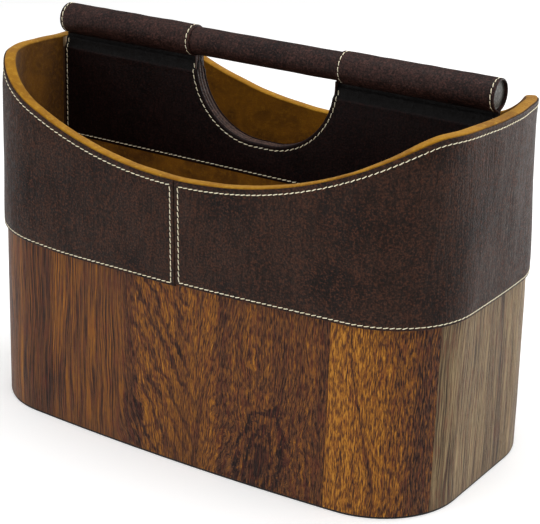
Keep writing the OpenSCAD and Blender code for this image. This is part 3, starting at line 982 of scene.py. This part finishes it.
def sleeve(name, side):
    """Leather folded round the dowel on one side of the hand hole."""
    near = (0, 0.15, 0.4, 0.8, 1.3, 1.9, 2.4, 2.7, 3.0, 3.6, 5, 7.5)
    x = steps(SLEEVE_START, PANEL_HALF, 3.0, near)[:, None] * side
    y0, _ = sleeve_path()
    t = np.linspace(0, 1, len(y0))[None]
    outer = sleeve_surface(x, t)
    radial = outer[..., 1:] - np.array([0, HANDLE_Z])
    inner_scale = (GRIP_R + 0.05) / np.linalg.norm(radial, axis=-1, keepdims=True)
    inner = outer.copy()
    inner[..., 1:] = np.array([0, HANDLE_Z]) + radial * np.minimum(inner_scale, 0.995)
    neck = outer[..., 2] < 280.3
    inner[..., 1] = np.where(neck, outer[..., 1] * 0.12, inner[..., 1])
    inner[..., 2] = np.where(neck, outer[..., 2], inner[..., 2])
    shell(name, outer, inner, HANDLE_LEATHER)


def hole_edge(radius):
    """Points round the hand hole from its right top to its left top, with directions out."""
    top = np.array([281.4, 279.4, 278.4])
    angle = np.linspace(0, math.pi / 2, 40)
    x = np.concatenate([HOLE_FLAT + radius + 0 * top, HOLE_FLAT + radius * np.cos(angle)])
    z = np.concatenate([top, HOLE_CZ - radius * np.sin(angle)])
    out_x = np.concatenate([1 + 0 * top, np.cos(angle)])
    out_z = np.concatenate([0 * top, -np.sin(angle)])
    right = np.stack([x, z, out_x, out_z], -1)
    left = right[::-1] * np.array([-1, 1, -1, 1])
    return np.concatenate([right, left])


def hole_binding():
    """Strip of leather between the two panels at the hole, with two piped ridges."""
    y = np.linspace(-5.0, 5.0, 33)
    ridges = 0.75 * dip(y - 1.8, 0.85) + 0.75 * dip(y + 1.6, 0.85) + 0.2
    edge = hole_edge(HOLE_R)
    base, out = edge[:, None, :2], edge[:, None, 2:]
    front = base + out * (0.9 - ridges)[None, :, None]
    back = base + out * 1.6 + 0 * front
    front = np.stack([front[..., 0], y + 0 * front[..., 0], front[..., 1]], -1)
    back = np.stack([back[..., 0], y + 0 * back[..., 0], back[..., 1]], -1)
    shell("hole_edge_binding", front, back, EDGE_LEATHER, ["hole_binding"])


def divider_stitches():
    """Stitches on the two faces of the divider and round the sleeves."""

    def face_run(x, z, side):
        def surface(a, b):
            return np.stack([a, side * panel_face(a, b), b], -1)

        return run_on(surface, x, z, lambda path: np.array([0, side, 0]) + 0 * path)

    edge = hole_edge(HOLE_R + HOLE_STITCH)
    edge = edge[edge[:, 1] < HOLE_CZ]
    fine = np.linspace(0, len(edge) - 1, 500)
    hx, hz = [np.interp(fine, np.arange(len(edge)), edge[:, k]) for k in (0, 1)]
    rings = np.linspace(0.06, 0.94, 120)
    half = PANEL_HALF - EDGE_STITCH
    for side, label in ((-1, "front"), (1, "back")):
        stitches("hole_stitches_" + label, [face_run(hx, hz, side)], HOLE_PITCH)
        x = np.arange(-half, half, 0.8)
        runs = [face_run(x, np.full(len(x), PANEL_Z + EDGE_STITCH), side)]
        z = np.arange(PANEL_Z + EDGE_STITCH, STITCH_TOP, 0.8)
        for end in (-half, half):
            runs.append(face_run(np.full(len(z), end), z, side))
        stitches("panel_stitches_" + label, runs)
    runs = []
    for place in (SLEEVE_START + EDGE_STITCH, PANEL_HALF - EDGE_STITCH):
        for side in (-1, 1):
            x = np.full(len(rings), place * side)
            away = np.array([0, 0, HANDLE_Z])
            runs.append(run_on(sleeve_surface, x, rings, lambda path: path * [0, 1, 1] - away))
    stitches("sleeve_stitches", runs)


def grip():
    """Leather cover of the dowel with its joint underneath."""
    x = np.linspace(-187.0, 187.0, 150)[:, None]
    turn = np.linspace(0, 2 * math.pi, 72, endpoint=False)[None]
    from_joint = np.minimum(turn, 2 * math.pi - turn) * GRIP_R
    lap = 0.35 * dip(from_joint - 2.4, 1.3) - 0.9 * dip(from_joint, 0.5)
    radius = GRIP_R - 0.05 + lap + 0.07 * waves(x, turn * 20, 30, 40, 9)
    y, z = radius * np.sin(turn), HANDLE_Z - radius * np.cos(turn)
    points = np.stack([x + 0 * y, y, z], -1)
    piece("grip_wrap", points, loft_faces(points, False), HANDLE_LEATHER, ["grip_cover"])


def end_disc(name, side, node):
    """Domed leather disc in the end of a sleeve, with a pressed rim."""
    r = np.array([0.0, 1.5, 3.5, 5.5, 7.2, 8.4, 9.1, 9.7, 10.2, 10.5])
    out = np.array([0.75, 0.73, 0.66, 0.52, 0.32, 0.1, -0.1, 0.1, 0.08, -0.3])
    turn = np.linspace(0, 2 * math.pi, 48, endpoint=False)
    base = PANEL_HALF - DISC_INSET - 0.6
    rows = [(rr, base + oo) for rr, oo in zip(r[1:], out[1:])] + [(10.5, base - 1.2), (1.5, base - 1.2)]
    points = [(side * xx, rr * math.sin(a), HANDLE_Z + rr * math.cos(a)) for rr, xx in rows for a in turn]
    faces = grid_faces(len(rows), len(turn), wrap_cols=True)
    points += [(side * (base + out[0]), 0, HANDLE_Z), (side * (base - 1.2), 0, HANDLE_Z)]
    count, tip = len(turn), len(rows) * len(turn)
    last = (len(rows) - 1) * count
    for k in range(count):
        faces.append([k, (k + 1) % count, tip])
        faces.append([last + k, last + (k + 1) % count, tip + 1])
    # The disc's grey-green colour is a painted reflection.
    piece(name, points, faces, DISC_LEATHER_SHEEN, [node])


def divider_suede(name, side, node):
    """Suede on one face of the lower divider, slightly uneven."""
    x = np.linspace(-INSIDE_HALF, INSIDE_HALF, 90)
    z = np.linspace(BASE_TOP, PANEL_Z + 3, 40)
    a, b = np.meshgrid(x, z, indexing="ij")
    rim = swell(a - x[0], 10) * swell(x[-1] - a, 10) * swell(b - z[0], 10) * swell(z[-1] - b, 10)
    soft = 0.25 * waves(a, b, 70, 90, 10) * rim
    face = np.stack([a, side * (CORE_Y + SUEDE_T + soft), b], -1)
    back = np.stack([a, 0 * a + side * (CORE_Y + 0.02), b], -1)
    shell(name, face, back, SUEDE, [node])


def floor_sheet(name, side, node):
    """Suede on the floor of one pocket, cut to the curve of the wall."""
    u = steps(-QUARTER + 8, QUARTER - 8, 5.0)
    wall = on_wall(u, O_INSIDE - 0.1, 0.0)[:, :2] * np.array([1, -side])
    share = np.linspace(0, 1, 16)[None]
    face_y = (CORE_Y + SUEDE_T + 0.3) * side
    x = wall[:, :1] + 0 * share
    y = face_y + (wall[:, 1:] - face_y) * share
    soft = 0.2 * waves(x, y, 60, 60, 11) * swell(share * 100, 10) * swell((1 - share) * 100, 10)
    top = np.stack([x, y, BASE_TOP + SUEDE_T + soft], -1)
    under = np.stack([x, y, BASE_TOP + 0.02 + 0 * x], -1)
    shell(name, top, under, SUEDE, [node])


def build_divider():
    divider_panel("divider_panel_front", -1, ["divider_leather"])
    divider_panel("divider_panel_back", 1)
    sleeve("sleeve_left", -1)
    sleeve("sleeve_right", 1)
    hole_binding()
    divider_stitches()
    grip()
    end_disc("disc_left", -1, "end_disc_left")
    end_disc("disc_right", 1, "end_disc_right")
    divider_suede("divider_lining_front", -1, "divider_suede_front")
    divider_suede("divider_lining_back", 1, "divider_suede_back")
    floor_sheet("pocket_floor_front", -1, "floor_front")
    floor_sheet("pocket_floor_back", 1, "floor_back")


def dress_nodes():
    """Procedural materials for the CAD nodes that stay."""
    stained = plain_wood("divider_board_stained", srgb(92, 64, 42), srgb(60, 40, 27))
    looks = {"base_cover": base_cloth(), "base_board": BOARD, "divider_core": stained,
             "handle_dowel": BOARD, "divider_screws": steel()}
    for node, material in looks.items():
        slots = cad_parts[node].data.materials
        if not len(slots):
            slots.append(material)
        for k in range(len(slots)):
            slots[k] = material


# ---- Studio ----


def build_floor():
    """A pale floor that reaches far past the view."""
    half = 9.0
    mesh = bpy.data.meshes.new("studio_floor")
    corners = [(-half, -half, 0), (half, -half, 0), (half, half, 0), (-half, half, 0)]
    mesh.from_pydata(corners, [], [(0, 1, 2, 3)])
    mesh.materials.append(floor_white())
    floor = bpy.data.objects.new("studio_floor", mesh)
    bpy.context.scene.collection.objects.link(floor)
    floor.location.z = cad_box[0].z - 0.0002


def area_light(name, place, size, power):
    """A soft rectangular light in metres, turned towards the middle of the rack."""
    data = bpy.data.lights.new(name, "AREA")
    data.shape = "RECTANGLE"
    data.size, data.size_y = size
    data.energy = power
    light = bpy.data.objects.new(name, data)
    bpy.context.scene.collection.objects.link(light)
    light.location = place
    light.rotation_mode = "QUATERNION"
    light.rotation_quaternion = (Vector((0, 0, 0.14)) - Vector(place)).to_track_quat("-Z", "Y")


def build_light():
    world = bpy.data.worlds.new("studio")
    bpy.context.scene.world = world
    world.use_nodes = True
    background = world.node_tree.nodes["Background"]
    background.inputs["Color"].default_value = (1.0, 1.0, 1.0, 1)
    background.inputs["Strength"].default_value = 0.22
    area_light("overhead", (0.2, -0.1, 2.4), (3.0, 3.0), 68)
    area_light("front_left", (-1.3, -1.9, 1.2), (1.6, 1.2), 12)
    area_light("right_end", (1.5, 2.3, 0.7), (1.6, 1.2), 44)
    bpy.context.scene.view_settings.view_transform = "Standard"


def build_camera():
    """Camera at the viewing angle of the photograph, slightly rolled."""
    azimuth, elevation, roll = (math.radians(a) for a in (32.457, 20.336, 1.983))
    distance, lens = 1.28665, 110.15
    aim_side, aim_height = 0.0068, 0.12631
    back = Vector((math.sin(azimuth) * math.cos(elevation),
                   -math.cos(azimuth) * math.cos(elevation), math.sin(elevation)))
    level = Vector((math.cos(azimuth), math.sin(azimuth), 0))
    up = back.cross(level)
    right = math.cos(roll) * level + math.sin(roll) * up
    data = bpy.data.cameras.new("camera")
    data.lens = lens
    data.sensor_width = 36
    data.clip_start, data.clip_end = 0.05, 60
    camera = bpy.data.objects.new("camera", data)
    bpy.context.scene.collection.objects.link(camera)
    turned = Matrix((right, back.cross(right), back)).transposed().to_4x4()
    aim = level * aim_side + Vector((0, 0, aim_height))
    camera.matrix_world = Matrix.Translation(aim + back * distance) @ turned
    bpy.context.scene.camera = camera


build_camera()
build_floor()
build_light()
build_walls()
build_veneer()
build_divider()
dress_nodes()
